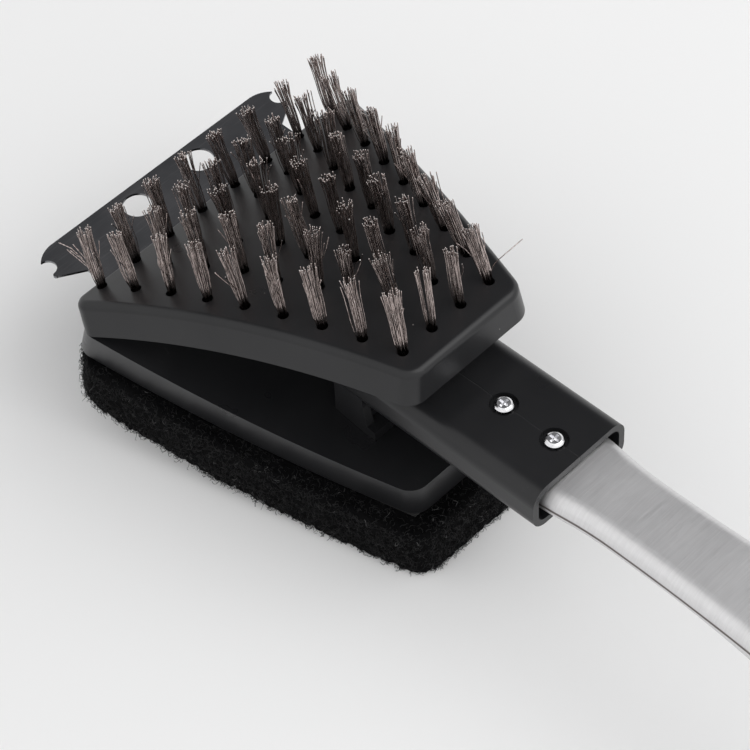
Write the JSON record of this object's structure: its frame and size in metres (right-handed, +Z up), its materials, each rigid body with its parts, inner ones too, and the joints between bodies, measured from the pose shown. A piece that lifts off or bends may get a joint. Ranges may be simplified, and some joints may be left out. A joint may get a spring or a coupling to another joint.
{
  "type": "grill cleaning brush",
  "caption": "Grill cleaning brush: wedge-shaped head with wire tufts on top, a scouring pad below and a notched scraper blade at the nose, on a flat steel handle.",
  "frame": {"origin": "on the ground under the middle of the outline, midway between blade edge and handle tip", "axes": "+X from the scraper blade towards the handle tip, +Y across the head, +Z up"},
  "size_m": [0.4432, 0.1218, 0.1117],
  "materials": {
    "charcoal_plastic": "satin moulded",
    "natural_nylon": "moulded, unpainted",
    "pad_fibre": "non-woven abrasive fibre",
    "bond_film": "cured adhesive",
    "blade_steel": "stamped sheet",
    "handle_steel": "cross-brushed",
    "bright_screw": "bright plated",
    "bristle_wire": "drawn wire",
    "anchor_steel": "cut wire"
  },
  "bodies": {
    "root": {"brush_block": "charcoal_plastic", "tufts_row_1": "bristle_wire", "tufts_row_2": "bristle_wire", "tufts_row_3": "bristle_wire", "tufts_row_4": "bristle_wire", "tufts_row_5": "bristle_wire", "tufts_row_6": "bristle_wire", "tufts_row_7": "bristle_wire", "tufts_row_8": "bristle_wire", "tufts_row_9": "bristle_wire", "tuft_anchors": "anchor_steel", "pad_holder": "charcoal_plastic", "pad_bond": "bond_film", "scouring_pad": "pad_fibre", "scraper_blade": "blade_steel", "nose_screws": "bright_screw", "clamp_screws": "bright_screw", "handle_socket": "charcoal_plastic", "handle_top_shell": "handle_steel", "handle_bottom_shell": "handle_steel", "handle_plug": "natural_nylon", "handle_screws": "bright_screw", "hang_eyelet": "handle_steel"}
  },
  "joints": []
}
